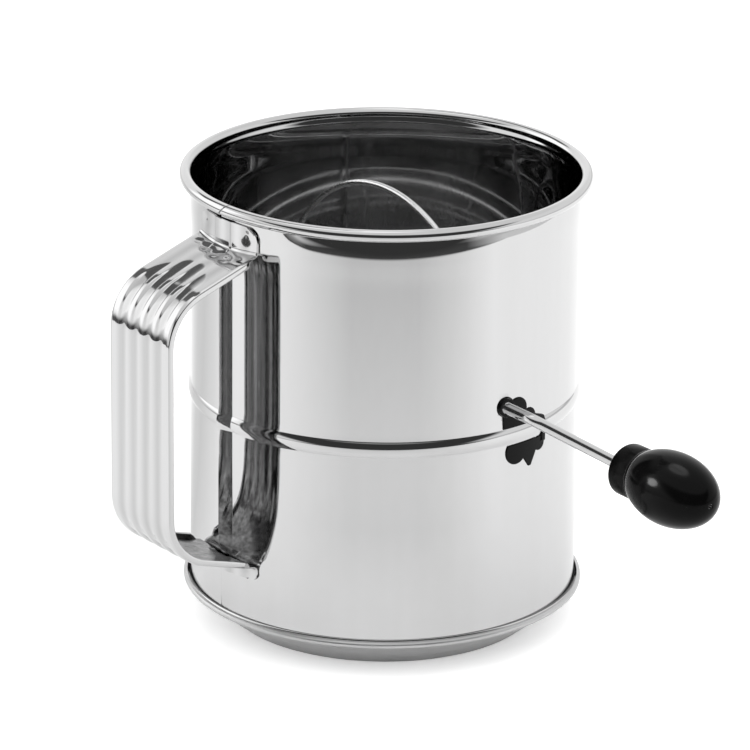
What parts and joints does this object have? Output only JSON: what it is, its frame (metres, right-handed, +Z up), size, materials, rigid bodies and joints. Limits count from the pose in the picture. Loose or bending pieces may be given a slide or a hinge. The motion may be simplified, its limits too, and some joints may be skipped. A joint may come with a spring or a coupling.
{
  "type": "flour sifter",
  "caption": "Round steel flour sifter with a side crank, egg-shaped grip, strap handle, domed screen and wire agitator.",
  "frame": {"origin": "on the can's axis, in the plane the base ring stands on", "axes": "+Z up along the can's axis, +X out along the crank shaft, the handle on the -Y side"},
  "size_m": [0.2637, 0.2072, 0.1918],
  "materials": {
    "polished_steel": "mirror-polished stainless sheet",
    "satin_steel": "unpolished stainless sheet",
    "screen_wire": "woven fine steel wire",
    "bright_wire": "bright drawn steel rod and wire",
    "black_moulding": "satin black moulded plastic",
    "black_gloss": "gloss black"
  },
  "bodies": {
    "can": {"body_shell": "polished_steel", "rim_wire": "bright_wire", "base_ring": "satin_steel", "screen_mesh": "screen_wire", "screen_ring": "satin_steel", "handle_strap": "polished_steel", "crank_bushing": "black_moulding", "far_bushing": "black_moulding", "crank_lock_ring": "bright_wire", "far_lock_ring": "bright_wire"},
    "crank": {"crank_rod": "bright_wire", "rod_end_cap": "bright_wire", "hub_crank_side": "bright_wire", "hub_far_side": "bright_wire", "agitator_wire_top": "bright_wire", "agitator_wire_front": "bright_wire", "agitator_wire_bottom": "bright_wire", "agitator_wire_back": "bright_wire", "grip_retaining_ring": "bright_wire"},
    "grip": {"grip_collar": "black_moulding", "grip_knob": "black_gloss"}
  },
  "joints": [
    {"name": "crank_spin", "type": "hinge", "parent": "can", "child": "crank", "pos_m": [0, 0, 0.1117], "axis": [1, 0, 0], "continuous": true},
    {"name": "grip_spin", "type": "hinge", "parent": "crank", "child": "grip", "pos_m": [0.144, 0.0301, 0.0917], "axis": [1, 0, 0], "continuous": true}
  ]
}
